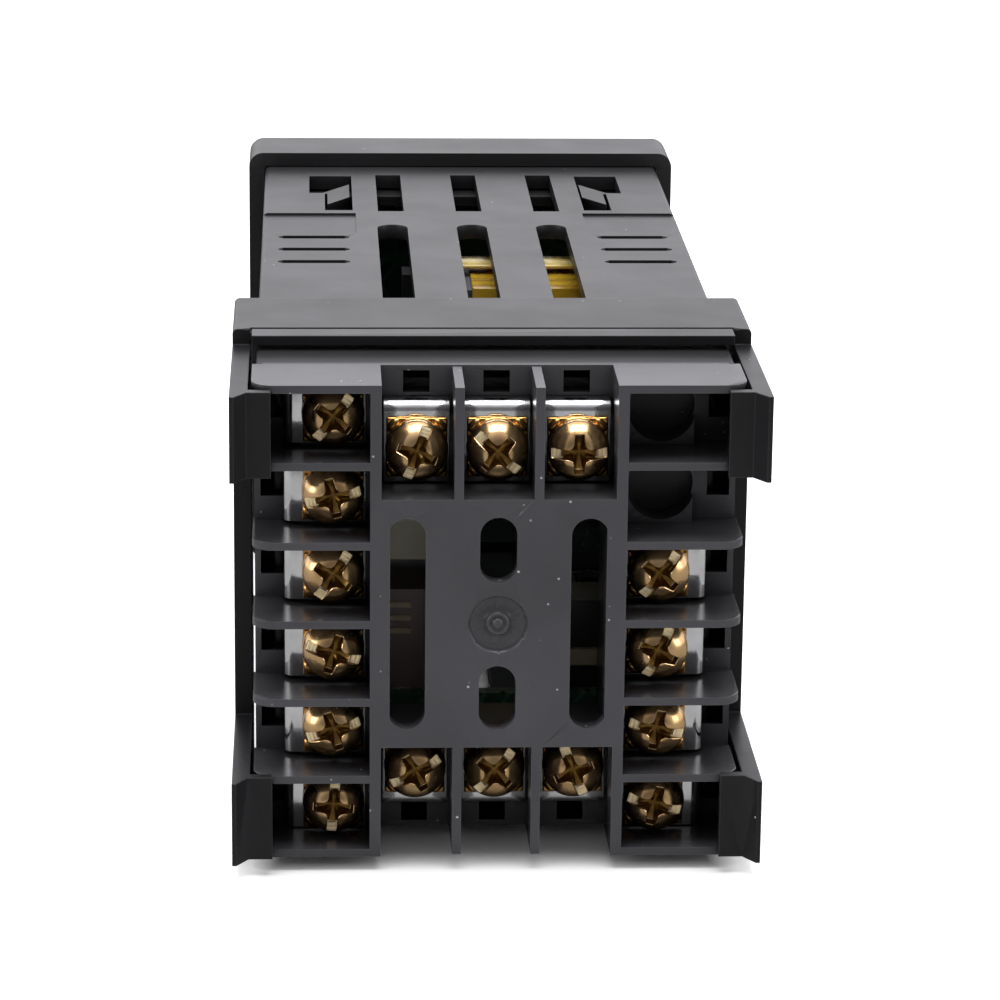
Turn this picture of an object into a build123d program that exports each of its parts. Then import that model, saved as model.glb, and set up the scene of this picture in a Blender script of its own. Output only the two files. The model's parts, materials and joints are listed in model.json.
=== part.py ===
from build123d import *
import os

os.makedirs("parts", exist_ok=True)

# The body lies along Y: the display looks toward -Y, the terminals toward +Y, and it stands on Z = 0.
# Depths are counted from the rear face of the terminal block toward the display.

# Clearances
running_gap = 0.3
slip_gap = 0.15
plug_gap = 0.2

# Case tube, whose width and height carry the block, the bracket and the bezel
case_width = 44.3
case_height = 44.8
case_wall = 1.5
case_corner = 0.5
inner_width = case_width - 2 * case_wall
inner_height = case_height - 2 * case_wall

# Overall sizes
bezel_rim_side = 1.85
bezel_rim_end = 1.6
bezel_width = case_width + 2 * bezel_rim_side
bezel_height = case_height + 2 * bezel_rim_end
bezel_depth = 10.0
body_depth = 100.0
claw_reach = 3.0
rear_y = (bezel_depth + body_depth + claw_reach) / 2 - claw_reach
axis_z = bezel_height / 2

# Vents, latch windows and grips of the case
vent_pitch = 8.4
long_vent_width = 3.2
long_vent_depths = (20.0, 69.2)
short_vent_width = 2.8
short_vent_depths = (76.0, 95.4)
window_inner = 12.5
window_width = 4.7
window_step = 1.7
window_depths = (76.5, 85.6, 94.8)
grip_inner = 13.0
grip_length = 7.4
grip_width = 1.4
grip_recess = 0.6
grip_first = 51.4
grip_pitch = 5.8
band_inner = 12.2
band_depths = (65.0, 75.0)
band_recess = 0.25

# Terminals
side_leg = case_width / 2 - 3.25
end_leg = case_height / 2 - 3.5
side_screw_x = side_leg - 3.85
end_screw_z = end_leg - 3.5
plate_thick = 0.8
plate_width = 5.7
bend_cut = 0.7
leg_width = 2.4
leg_shift = 1.2
washer_side = 5.6
washer_thick = 0.7
head_radius = 2.88
head_height = 2.7
head_edge = 1.1
head_flat = 1.7
head_sides = 16
cross_width = 0.95
cross_reach = 1.95
cross_sink = 1.3
shank_radius = 1.5
shank_sides = 8
hole_radius = shank_radius + slip_gap
shank_length = 3.6

# Terminal block
block_rim_side = 0.3
block_rim_end = 0.2
block_width = case_width + 2 * block_rim_side
block_height = case_height + 2 * block_rim_end
pitch_margin = 0.1
pitch = (block_height - 2 * pitch_margin) / 6
shelf_thick = 0.75
shelf_corner = 2.0
bar_inner = side_screw_x - 4.35
bar_thick = 1.0
fin_x = 3.65
fin_thick = 0.85
end_screw_x = (fin_x + fin_thick / 2 + bar_inner) / 2
pocket_depth = 8.0
seat_depth = 6.5
seat_margin = 0.7
empty_recess_radius = 3.0
empty_recess_sink = 1.2
flange_thick = 0.8
flange_inset = (0.3, 0.2)
floor_thick = 2.4
plate_top = end_screw_z - 3.5
deck_thick = 1.6
deck_slot_margin = 1.8
deck_slot_width = 3.4
deck_slot_x = bar_inner - 0.65 - deck_slot_width / 2
deck_slot_length = 2 * (plate_top - deck_slot_margin)
eye_slot_length = 6.2
eye_slot_z = plate_top - deck_slot_margin + 0.1 - eye_slot_length / 2
dimple_radius = 2.56
dimple_sink = 0.55
nub_radius = 0.75
plug_width = inner_width - 2 * plug_gap
plug_height = inner_height - 2 * plug_gap
plug_wall = 0.85
plug_end = 15.0
notch_width = 2.45
notch_height = 2.1
notch_skin = 0.4
notch_end = 13.0

# Mounting bracket
ring_side_wall = 1.65
ring_end_wall = 0.9
ring_width = block_width + 2 * (running_gap + ring_side_wall)
ring_height = block_height + 2 * (running_gap + ring_end_wall)
ring_depths = (16.6, 29.3)
lip_depth = 13.9
leg_inner = block_width / 2 + running_gap
claw_overlap = 2.05
claw_inner = leg_inner - claw_overlap
claw_thick = 1.0
claw_lip = 0.4
leg_width_z = 8.0
leg_margin = 1.5
leg_high = ring_height / 2 - leg_margin
leg_low = leg_high - leg_width_z
score_width = 0.6
score_sink = 0.35

# Boards
board_thick = 1.6
base_board_gap = 0.45
base_board_width = inner_width - 2 * base_board_gap
base_board_height = inner_height - 2 * base_board_gap
base_board_opening = (2 * (bar_inner + 0.3), 2 * (plate_top - 0.2))
card_margin = 1.9
card_half = inner_height / 2 - card_margin
card_end = 99.0
control_x = 4.7
power_x = -17.4
rail_width = 3.2
rail_grip = 0.6
rail_end = 75.0
header_thick = 2.6
header_length = 18.0

# Parts on the power card
core_height = 20.4
core_low = card_half - 1.6 - core_height
core_rise = 17.0
core_start = 60.0
core_length = 11.0
core_limb = 3.0
bobbin_thick = 1.0
bobbin_reach = 6.8
bobbin_rail = 5.0
winding_reach = 5.5
winding_corner = 2.5
winding_gap = 0.2
mains_capacitor_radius = 5.2
mains_capacitor_rise = 16.0
mains_capacitor_z = 8.0
mains_capacitor_depth = 25.0
filter_capacitor_radius = 4.0
filter_capacitor_rise = 12.0
filter_capacitor_z = -10.0
filter_capacitor_depth = 62.0
film_capacitor_size = (11.0, 11.0, 6.0)
film_capacitor_z = -9.5
film_capacitor_depth = 20.0

# Parts on the control card
relay_size = (10.5, 10.0, 15.0)
relay_depth = 19.0
output_relay_z = 5.5
alarm_relay_z = -7.5
controller_size = (1.6, 12.0, 12.0)
controller_z = 0.0
controller_depth = 66.0
memory_size = (1.5, 5.0, 4.0)
memory_z = 11.5
memory_depth = 82.0
driver_size = (1.6, 10.0, 6.0)
driver_z = 0.0
driver_depth = 84.0

# Bezel, window and keys
bezel_corner = 1.6
bezel_edge = 1.0
bezel_wall = 2.0
front_thick = 2.4
back_flange = 1.5
rebate = 0.5
bezel_plug_gap = 0.25
bezel_plug_width = inner_width - 2 * bezel_plug_gap
bezel_plug_height = inner_height - 2 * bezel_plug_gap
bezel_plug_wall = 1.0
bezel_plug_end = 92.0
arm_end = 78.0
arm_thick = 1.0
hook_depth = 85.6
hook_width = 3.6
hook_turn = 58
hook_sink = 0.15
window_size = (38.0, 24.0)
window_z = 6.5
window_thick = 1.6
ledge = 1.0
key_xs = (-13.5, -4.5, 4.5, 13.5)
key_z = -13.5
key_size = (7.0, 5.0)
key_proud = 0.5
key_travel = 0.4
front_depth = body_depth + bezel_depth
display_board_depth = body_depth + back_flange
display_board_gap = 1.0
display_board_width = bezel_width - 2 * (bezel_wall + display_board_gap)
display_board_height = bezel_height - 2 * (bezel_wall + display_board_gap)
display_rise = 4.2
value_display_size = (30.0, 11.5)
setting_display_size = (24.0, 8.0)
display_x = -2.5
value_display_up = 4.8
setting_display_down = 6.0
lamp_size = (1.6, 3.0)
lamp_rise = 3.6
lamp_x = 16.2
lamp_top = 7.5
lamp_pitch = 5.0
switch_side = 4.5
plunger_side = 2.0
plunger_rise = 0.5
key_corner = 1.0
key_flange = 1.0
key_flange_rim = (0.6, 0.7)


def at_depth(depth):
    """Plane across the body at this depth; extruding from it runs toward the display."""
    return Plane(origin=(0, rear_y - depth, axis_z), x_dir=(1, 0, 0), z_dir=(0, -1, 0))


def along(sketch, start, end):
    """Sketch of the cross section carried from one depth to another."""
    return extrude(at_depth(start) * sketch, end - start)


def strip(x0, x1, z0, z1):
    """Rectangle of the cross section between two widths and two heights."""
    return Pos((x0 + x1) / 2, (z0 + z1) / 2) * Rectangle(abs(x1 - x0), abs(z1 - z0))


def mirrored(sketch):
    """Sketch together with its left-right and top-bottom images."""
    both = sketch + mirror(sketch, Plane.YZ)
    return both + mirror(both, Plane.XZ)


def plan_plane(height):
    """Level plane with the depth running down the page from the rear face."""
    return Plane(origin=(0, rear_y, axis_z + height), x_dir=(1, 0, 0), z_dir=(0, 0, 1))


def plan(x0, x1, depth0, depth1):
    """Rectangle seen from above between two widths and two depths."""
    return Pos((x0 + x1) / 2, -(depth0 + depth1) / 2) * Rectangle(abs(x1 - x0), abs(depth1 - depth0))


def save(name, shape):
    shape.label = name
    export_step(shape, "parts/" + name + ".step")


def cell_walls_notch():
    """Small holes through the outer wall of every terminal cell."""
    side = case_width / 2 - notch_skin - notch_height / 2
    end = case_height / 2 - notch_skin - notch_height / 2
    rows = [Pos(side, (row - 2.5) * pitch) * Rectangle(notch_height, notch_width) for row in range(6)]
    ends = [Pos(column * end_screw_x, end) * Rectangle(notch_width, notch_height) for column in (-1, 0, 1)]
    return mirrored(Sketch() + rows + ends)


def latch_windows(gap):
    """Stepped windows of the snap arms seen from above, drawn in by a gap."""
    inner = window_inner + gap
    outer = window_inner + window_width - gap
    step = window_inner + window_width - window_step - gap
    windows = plan(inner, outer, window_depths[1] + gap, window_depths[2] - gap)
    windows += plan(inner, step, window_depths[0] + gap, window_depths[2] - gap)
    return windows + mirror(windows, Plane.YZ)


def make_housing():
    section = RectangleRounded(case_width, case_height, case_corner)
    hollow = Rectangle(inner_width, inner_height)
    start = pocket_depth + flange_thick
    shell = along(section - hollow, start, body_depth + rebate)

    rails = Sketch()
    for card_x in (control_x, power_x):
        rails += strip(
            card_x - rail_width / 2, card_x + rail_width / 2, card_half - rail_grip, inner_height / 2 + 0.2
        )
        groove = board_thick / 2 + slip_gap
        rails -= strip(card_x - groove, card_x + groove, card_half - rail_grip - 1, card_half + running_gap)
    rails += mirror(rails, Plane.XZ)
    shell += along(rails, plug_end + board_thick + 0.4, rail_end)

    vents = Sketch()
    for column in (-1, 0, 1):
        vents += Pos(column * vent_pitch, -sum(long_vent_depths) / 2) * SlotOverall(
            long_vent_depths[1] - long_vent_depths[0], long_vent_width, rotation=90
        )
        half_width = short_vent_width / 2
        middle = column * vent_pitch
        vents += plan(middle - half_width, middle + half_width, *short_vent_depths)
    vents += latch_windows(0)
    shell -= extrude(plan_plane(-case_height) * vents, 2 * case_height)

    marks = Sketch()
    for row in range(3):
        middle = grip_first + row * grip_pitch
        for side in (-1, 1):
            mark = Rectangle(grip_length, grip_width)
            mark = chamfer(mark.vertices(), 0.35 * grip_width)
            marks += Pos(side * (grip_inner + grip_length / 2), -middle) * mark
    grips = extrude(plan_plane(case_height / 2 - grip_recess) * marks, 2)
    bands = Sketch()
    for side in (-1, 1):
        bands += plan(side * band_inner, side * case_width, *band_depths)
    bands = extrude(plan_plane(case_height / 2 - band_recess) * bands, 2)
    turned = Pos(0, 0, axis_z) * Rot(0, 180, 0) * Pos(0, 0, -axis_z)
    for cut in (grips, bands):
        shell -= cut
        shell -= turned * cut
    return shell - along(cell_walls_notch(), start, notch_end)


def make_terminal_block():
    half_width = block_width / 2
    half_height = block_height / 2
    outline = RectangleRounded(block_width - flange_inset[0], block_height - flange_inset[1], 0.8)
    floor_end = pocket_depth + floor_thick
    body = along(outline, pocket_depth, pocket_depth + flange_thick)
    plug = Rectangle(plug_width, plug_height)
    body += along(plug, pocket_depth + flange_thick, floor_end)
    plug_hollow = Rectangle(plug_width - 2 * plug_wall, plug_height - 2 * plug_wall)
    body += along(plug - plug_hollow, floor_end, plug_end)
    centre_wall = deck_thick / 2
    opening = Rectangle(2 * (bar_inner - centre_wall), 2 * (plate_top - centre_wall))
    body -= along(opening, pocket_depth, floor_end)

    walls = mirrored(strip(bar_inner, bar_inner + bar_thick, 0, half_height))
    walls += mirrored(strip(0, bar_inner, plate_top - centre_wall, plate_top))
    walls += mirrored(strip(bar_inner - centre_wall, bar_inner, 0, plate_top))
    walls += mirrored(strip(fin_x - fin_thick / 2, fin_x + fin_thick / 2, plate_top, half_height - 0.2))
    body += along(walls, 0, pocket_depth)
    seats = mirrored(strip(bar_inner + bar_thick, side_leg - seat_margin, 0, half_height))
    seats += mirrored(strip(0, bar_inner, plate_top, end_leg - seat_margin))
    body += along(seats, seat_depth, pocket_depth)

    shelf = plan(bar_inner + bar_thick, half_width, 0, pocket_depth)
    outer_corner = shelf.vertices().sort_by(Axis.X)[-2:].sort_by(Axis.Y)[-1]
    shelf = fillet(outer_corner, shelf_corner)
    for row in range(7):
        low = (row - 3) * pitch - shelf_thick / 2
        low = min(max(low, -half_height), half_height - shelf_thick)
        layer = extrude(plan_plane(low) * shelf, shelf_thick)
        body += layer + mirror(layer, Plane.YZ)

    deck = Rectangle(2 * bar_inner, 2 * plate_top)
    for side in (-1, 1):
        deck -= Pos(side * deck_slot_x, 0) * SlotOverall(deck_slot_length, deck_slot_width, rotation=90)
        deck -= Pos(0, side * eye_slot_z) * SlotOverall(eye_slot_length, deck_slot_width, rotation=90)
    body += along(deck, 0, deck_thick)
    dimple = along(Circle(dimple_radius), 0, dimple_sink) - along(Circle(nub_radius), 0, dimple_sink)
    body -= dimple

    leg_slots = Sketch()
    screw_holes = Sketch()
    for turn, across, out in terminal_places():
        spot = Rot(0, 0, turn)
        shift = -leg_shift if across > 0 else leg_shift
        shift = 0 if abs(across) < 1 else shift
        slot = Rectangle(plate_thick + 0.4, leg_width + 0.3)
        leg_slots += spot * Pos(leg_distance(turn), across + shift) * slot
        screw_holes += spot * Pos(out, across) * RegularPolygon(hole_radius, shank_sides)
    body -= along(leg_slots, pocket_depth, floor_end)
    body -= along(screw_holes, seat_depth, floor_end)
    for row in range(2):
        recess = Pos(-side_screw_x, (2.5 - row) * pitch) * RegularPolygon(empty_recess_radius, 2 * shank_sides)
        body -= along(recess, seat_depth, seat_depth + empty_recess_sink)
    return body - along(cell_walls_notch(), pocket_depth, pocket_depth + floor_thick)


def terminal_places():
    """Quarter turn, offset across and distance out of each of the sixteen terminals."""
    places = [(0, (2.5 - row) * pitch, side_screw_x) for row in range(6)]
    places += [(90, column * end_screw_x, end_screw_z) for column in (-1, 0, 1)]
    places += [(180, (row - 2.5) * pitch, side_screw_x) for row in range(2, 6)]
    places += [(270, column * end_screw_x, end_screw_z) for column in (-1, 0, 1)]
    return places


def leg_distance(turn):
    """Distance out of a terminal's leg, at the sides or at the top and bottom."""
    return side_leg if turn % 180 == 0 else end_leg


def make_terminal_plate(turn, across, out):
    """Clamping plate with its outer end bent forward into a leg that meets the base board."""
    leg_centre = leg_distance(turn)
    plate_inner = bar_inner + bar_thick + running_gap if turn % 180 == 0 else plate_top + 0.1
    middle = seat_depth - plate_thick / 2
    bend_end = pocket_depth - 0.1
    half = plate_thick / 2
    outer = leg_centre + half
    profile = make_face(
        Polyline(
            (plate_inner, half - middle),
            (outer - bend_cut, half - middle),
            (outer, half - middle - bend_cut),
            (outer, -bend_end),
            (leg_centre - half, -bend_end),
            (leg_centre - half, -half - middle),
            (plate_inner, -half - middle),
            close=True,
        )
    )
    level = Plane(origin=(0, rear_y, axis_z + across - plate_width / 2), x_dir=(1, 0, 0), z_dir=(0, 0, 1))
    plate = extrude(level * profile, plate_width)
    shift = -leg_shift if across > 0 else leg_shift
    shift = 0 if abs(across) < 1 else shift
    leg = Pos(leg_centre, across + shift) * Rectangle(plate_thick, leg_width)
    plate += along(leg, bend_end - 0.2, plug_end)
    plate -= along(Pos(out, across) * RegularPolygon(hole_radius, shank_sides), 0, plug_end)
    return Pos(0, 0, axis_z) * Rot(0, -turn, 0) * Pos(0, 0, -axis_z) * plate


def rearward(height):
    """Plane at this height on the Y axis; extruding from it runs toward +Y."""
    return Plane(origin=(0, height, 0), x_dir=(1, 0, 0), z_dir=(0, 1, 0))


def make_screw():
    """Pan head screw with a cross recess, standing at the origin with its head toward +Y."""
    rim = RegularPolygon(head_radius, head_sides)
    crown = RegularPolygon(head_flat, head_sides)
    head = extrude(rearward(0) * rim, head_edge)
    head += loft([rearward(head_edge) * rim, rearward(head_height) * crown])
    cross = Rectangle(2 * cross_reach, cross_width) + Rectangle(cross_width, 2 * cross_reach)
    head -= extrude(rearward(head_height - cross_sink) * Rot(0, 0, 45) * cross, 2 * cross_sink)
    length = washer_thick + plate_thick + shank_length
    return head + extrude(rearward(-length) * RegularPolygon(shank_radius, shank_sides), length)


def terminal_spot(turn, across, out, depth):
    """Location of a terminal at one depth, turned with its side of the block."""
    return Pos(0, 0, axis_z) * Rot(0, -turn, 0) * Pos(out, rear_y - depth, across)


def make_screws():
    seat = seat_depth - plate_thick - washer_thick
    screw = make_screw()
    return [terminal_spot(*place, seat) * screw for place in terminal_places()]


def make_washers():
    seat = seat_depth - plate_thick
    flat = Rectangle(washer_side, washer_side) - RegularPolygon(hole_radius, shank_sides)
    washer = extrude(rearward(0) * flat, washer_thick)
    return [terminal_spot(*place, seat) * washer for place in terminal_places()]


def make_bracket():
    """Ring that slips along the case, with four legs ending in claws behind the block."""
    hole = RectangleRounded(2 * leg_inner, block_height + 2 * running_gap, 0.6)
    ring = along(RectangleRounded(ring_width, ring_height, 0.5) - hole, *ring_depths)
    lip = strip(-leg_inner + 0.2, leg_inner - 0.2, block_height / 2 + running_gap, ring_height / 2)
    ring += along(lip + mirror(lip, Plane.XZ), lip_depth, ring_depths[0])
    score = plan(-leg_inner, leg_inner, ring_depths[0], ring_depths[0] + score_width)
    for level in (ring_height / 2 - score_sink, -ring_height / 2):
        ring -= extrude(plan_plane(level) * score, score_sink)

    outer = ring_width / 2
    flat = running_gap + claw_thick
    profile = make_face(
        Polyline(
            (leg_inner, -ring_depths[0]),
            (leg_inner, running_gap),
            (claw_inner, running_gap),
            (claw_inner, flat),
            (leg_inner + 0.15, flat),
            (outer - claw_lip, claw_reach),
            (outer, claw_reach),
            (outer, -ring_depths[0]),
            close=True,
        )
    )
    for low in (leg_low, -leg_high):
        leg = extrude(plan_plane(low) * profile, leg_width_z)
        ring += leg + mirror(leg, Plane.YZ)
    return ring


def make_bezel():
    """Front frame with its plug, four snap arms, window seat and key holes."""
    back = body_depth
    outside = along(RectangleRounded(bezel_width, bezel_height, bezel_corner), back, front_depth)
    outside = chamfer(outside.faces().sort_by(Axis.Y)[0].edges(), bezel_edge)
    inside = Rectangle(bezel_width - 2 * bezel_wall, bezel_height - 2 * bezel_wall)
    frame = outside - along(inside, back + back_flange, front_depth - front_thick)
    plug = Rectangle(bezel_plug_width, bezel_plug_height)
    mouth = Rectangle(bezel_plug_width - 2 * bezel_plug_wall, bezel_plug_height - 2 * bezel_plug_wall)
    frame -= along(mouth, back, back + back_flange)
    seat = RectangleRounded(case_width + 2 * slip_gap, case_height + 2 * slip_gap, case_corner)
    frame -= along(seat, back, back + rebate)
    frame += along(plug - mouth, bezel_plug_end, back + back_flange)

    view = Pos(0, window_z) * RectangleRounded(window_size[0] - 2 * ledge, window_size[1] - 2 * ledge, 0.8)
    pane_seat = Pos(0, window_z) * RectangleRounded(*window_size, 1.0)
    frame -= along(view, front_depth - front_thick, front_depth)
    frame -= along(pane_seat, front_depth - window_thick - 0.2, front_depth)
    for key_x in key_xs:
        hole = Pos(key_x, key_z) * RectangleRounded(
            key_size[0] + 2 * running_gap, key_size[1] + 2 * running_gap, key_corner + running_gap
        )
        frame -= along(hole, front_depth - front_thick, front_depth)

    top = bezel_plug_height / 2
    arm_right = window_inner + window_width - running_gap
    arms = mirrored(strip(window_inner + running_gap, arm_right, top - arm_thick, top))
    frame += along(arms, arm_end, bezel_plug_end)
    hook_x = window_inner + (window_width - window_step) / 2
    hooks = Pos(hook_x, -hook_depth) * Rot(0, 0, hook_turn) * Rectangle(5 * hook_width, hook_width)
    hooks = latch_windows(running_gap) & (hooks + mirror(hooks, Plane.YZ))
    hook_top = case_height / 2 - hook_sink
    for level in (top - arm_thick, -hook_top):
        frame += extrude(plan_plane(level) * hooks, hook_top - top + arm_thick)
    return frame


def make_window():
    start = front_depth - window_thick - 0.2
    pane = Pos(0, window_z) * RectangleRounded(window_size[0] - 0.2, window_size[1] - 0.2, 0.9)
    return along(pane, start, front_depth - 0.2)


def make_key(key_x):
    """Key cap with a flange that keeps it behind the front wall."""
    inner = front_depth - front_thick
    back = inner - key_flange
    cap = along(Pos(key_x, key_z) * RectangleRounded(*key_size, key_corner), back, front_depth + key_proud)
    width = key_size[0] + 2 * key_flange_rim[0]
    height = key_size[1] + 2 * key_flange_rim[1]
    return cap + along(Pos(key_x, key_z) * Rectangle(width, height), back, inner - slip_gap)


def make_display_board():
    board = Rectangle(display_board_width, display_board_height)
    return along(board, display_board_depth, display_board_depth + board_thick)


def make_display(size, middle_z):
    """Digit module standing on the display board."""
    start = display_board_depth + board_thick
    return along(Pos(display_x, middle_z) * Rectangle(*size), start, start + display_rise)


def make_lamps():
    start = display_board_depth + board_thick
    heights = [window_z + lamp_top - row * lamp_pitch for row in range(4)]
    return [along(Pos(lamp_x, height) * Rectangle(*lamp_size), start, start + lamp_rise) for height in heights]


def make_switches():
    """Push switches, each with its plunger just short of its pressed key."""
    start = display_board_depth + board_thick
    plunger_end = front_depth - front_thick - key_flange - key_travel - 0.1
    switches = []
    for key_x in key_xs:
        place = Pos(key_x, key_z)
        body = along(place * Rectangle(switch_side, switch_side), start, plunger_end - plunger_rise)
        plunger = place * Rectangle(plunger_side, plunger_side)
        switches.append(body + along(plunger, plunger_end - plunger_rise, plunger_end))
    return switches


def make_base_board():
    """Board that the legs of the terminals meet, open in the middle."""
    board = Rectangle(base_board_width, base_board_height) - Rectangle(*base_board_opening)
    return along(board, plug_end, plug_end + board_thick)


def make_card(card_x):
    start = plug_end + board_thick
    half = board_thick / 2
    return along(strip(card_x - half, card_x + half, -card_half, card_half), start, card_end)


def make_header(card_x):
    """Connector between the end of a card and the display board."""
    return along(Pos(card_x, 0) * Rectangle(header_thick, header_length), card_end, display_board_depth)


def card_part(card_x, side, size, middle_z, start):
    """Box component, sized by its rise, height and length, standing on one face of a card."""
    rise, height, length = size
    middle_x = card_x + side * (board_thick + rise) / 2
    return along(Pos(middle_x, middle_z) * Rectangle(rise, height), start, start + length)


def core_section(inset_low, inset_high):
    """Cross section of the core, drawn in from the card side and from the other three sides."""
    face = power_x + board_thick / 2 + bobbin_thick
    high = core_low + core_height
    return strip(face + inset_low, face + core_rise - inset_high, core_low + inset_high, high - inset_high)


def make_core():
    """Two E shaped halves of ferrite, closed round the winding."""
    core = along(core_section(0, 0), core_start, core_start + core_length)
    spaces = core_section(core_limb, core_limb)
    middle_limb = Pos(0, core_low + core_height / 2) * Rectangle(10 * core_rise, 2 * core_limb)
    return core - along(spaces - middle_limb, core_start, core_start + core_length)


def make_bobbin():
    """Pin base between the power card and the core, with a rail of pins at each end."""
    face = power_x + board_thick / 2
    start = core_start - bobbin_reach
    end = core_start + core_length + bobbin_reach
    base = along(strip(face, face + bobbin_thick, core_low, core_low + core_height), start, end)
    rail = strip(face, face + bobbin_rail, core_low + bobbin_thick, core_low + core_height - bobbin_thick)
    for rail_start in (start, end - bobbin_thick):
        base += along(rail, rail_start, rail_start + bobbin_thick)
    return base


def make_winding():
    """Taped winding on the middle limb, standing out in front of and behind the core."""
    section = core_section(core_limb + winding_gap, core_limb + winding_gap)
    coil = along(section, core_start - winding_reach, core_start + core_length + winding_reach)
    coil = fillet(coil.edges().filter_by(Axis.X), winding_corner)
    limb = Pos(0, core_low + core_height / 2) * Rectangle(10 * core_rise, 2 * (core_limb + winding_gap))
    return coil - along(limb, core_start - winding_gap, core_start + core_length + winding_gap)


def make_tall_capacitor(middle_z, depth, radius, rise):
    """Electrolytic capacitor standing on the power card with its axis across the body."""
    face = power_x + board_thick / 2
    foot = Plane(origin=(face, rear_y - depth, axis_z + middle_z), x_dir=(0, 1, 0), z_dir=(1, 0, 0))
    return extrude(foot * Circle(radius), rise)


save("housing", make_housing())
save("terminal_block", make_terminal_block())
save("mounting_bracket", make_bracket())
save("front_bezel", make_bezel())
save("display_window", make_window())
for key_name, key_x in zip(("set_key", "shift_key", "down_key", "up_key"), key_xs):
    save(key_name, make_key(key_x))
save("display_board", make_display_board())
save("value_display", make_display(value_display_size, window_z + value_display_up))
save("setting_display", make_display(setting_display_size, window_z - setting_display_down))
save("indicator_lamps", Compound(children=make_lamps()))
save("tact_switches", Compound(children=make_switches()))
save("base_board", make_base_board())
save("control_board", make_card(control_x))
save("power_board", make_card(power_x))
save("control_header", make_header(control_x))
save("power_header", make_header(power_x))
save("transformer_core", make_core())
save("transformer_winding", make_winding())
save("transformer_bobbin", make_bobbin())
save(
    "mains_capacitor",
    make_tall_capacitor(
        mains_capacitor_z, mains_capacitor_depth, mains_capacitor_radius, mains_capacitor_rise
    ),
)
save(
    "filter_capacitor",
    make_tall_capacitor(
        filter_capacitor_z, filter_capacitor_depth, filter_capacitor_radius, filter_capacitor_rise
    ),
)
save("film_capacitor", card_part(power_x, 1, film_capacitor_size, film_capacitor_z, film_capacitor_depth))
save("output_relay", card_part(control_x, 1, relay_size, output_relay_z, relay_depth))
save("alarm_relay", card_part(control_x, 1, relay_size, alarm_relay_z, relay_depth))
save("microcontroller", card_part(control_x, 1, controller_size, controller_z, controller_depth))
save("memory_chip", card_part(control_x, 1, memory_size, memory_z, memory_depth))
save("driver_chip", card_part(control_x, -1, driver_size, driver_z, driver_depth))
save("terminal_screws", Compound(children=make_screws()))
save("square_washers", Compound(children=make_washers()))
for number, place in enumerate(terminal_places(), 1):
    save(f"terminal_plate_{number:02d}", make_terminal_plate(*place))
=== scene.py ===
import bmesh
import bpy
import itertools
import json
import math
from mathutils import Matrix, Vector

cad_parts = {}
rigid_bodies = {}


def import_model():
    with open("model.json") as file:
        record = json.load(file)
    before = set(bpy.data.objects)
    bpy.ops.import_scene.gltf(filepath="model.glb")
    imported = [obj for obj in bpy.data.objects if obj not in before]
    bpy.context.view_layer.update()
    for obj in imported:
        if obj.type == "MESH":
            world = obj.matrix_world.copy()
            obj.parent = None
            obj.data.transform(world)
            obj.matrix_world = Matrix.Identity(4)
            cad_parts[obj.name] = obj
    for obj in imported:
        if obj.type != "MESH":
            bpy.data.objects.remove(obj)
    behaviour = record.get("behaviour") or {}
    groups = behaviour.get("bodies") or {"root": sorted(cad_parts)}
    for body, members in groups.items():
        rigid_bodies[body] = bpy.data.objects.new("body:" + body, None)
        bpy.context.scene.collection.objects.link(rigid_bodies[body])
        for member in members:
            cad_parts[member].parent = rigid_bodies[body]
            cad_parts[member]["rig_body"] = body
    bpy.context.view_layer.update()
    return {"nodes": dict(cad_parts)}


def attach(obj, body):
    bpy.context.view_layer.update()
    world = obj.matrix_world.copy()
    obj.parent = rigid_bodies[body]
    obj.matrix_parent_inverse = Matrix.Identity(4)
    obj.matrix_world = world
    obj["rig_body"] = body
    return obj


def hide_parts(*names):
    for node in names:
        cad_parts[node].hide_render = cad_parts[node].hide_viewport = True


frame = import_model()

# Sizes are in millimetres as on the object, and turned to metres where a mesh is made.
MM = 0.001
REAR_Y = 53.5
AXIS_Z = 24.0
FRONT_DEPTH = 110.0
WELD = 0.002

# Edges under this many degrees are shaded smooth: on softened pieces, and on a node left sharp.
SOFT_ANGLE, CRISP_ANGLE = 32, 14

# Sockets of a Map Range node, in the order in which its numbers are given here
RANGE_SOCKETS = ("From Min", "From Max", "To Min", "To Max")


def spot(x, depth, z):
    """Point in metres, from its side, its depth from the block's rear face and its height."""
    return Vector((x * MM, (REAR_Y - depth) * MM, (AXIS_Z + z) * MM))


# Finishes


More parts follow.
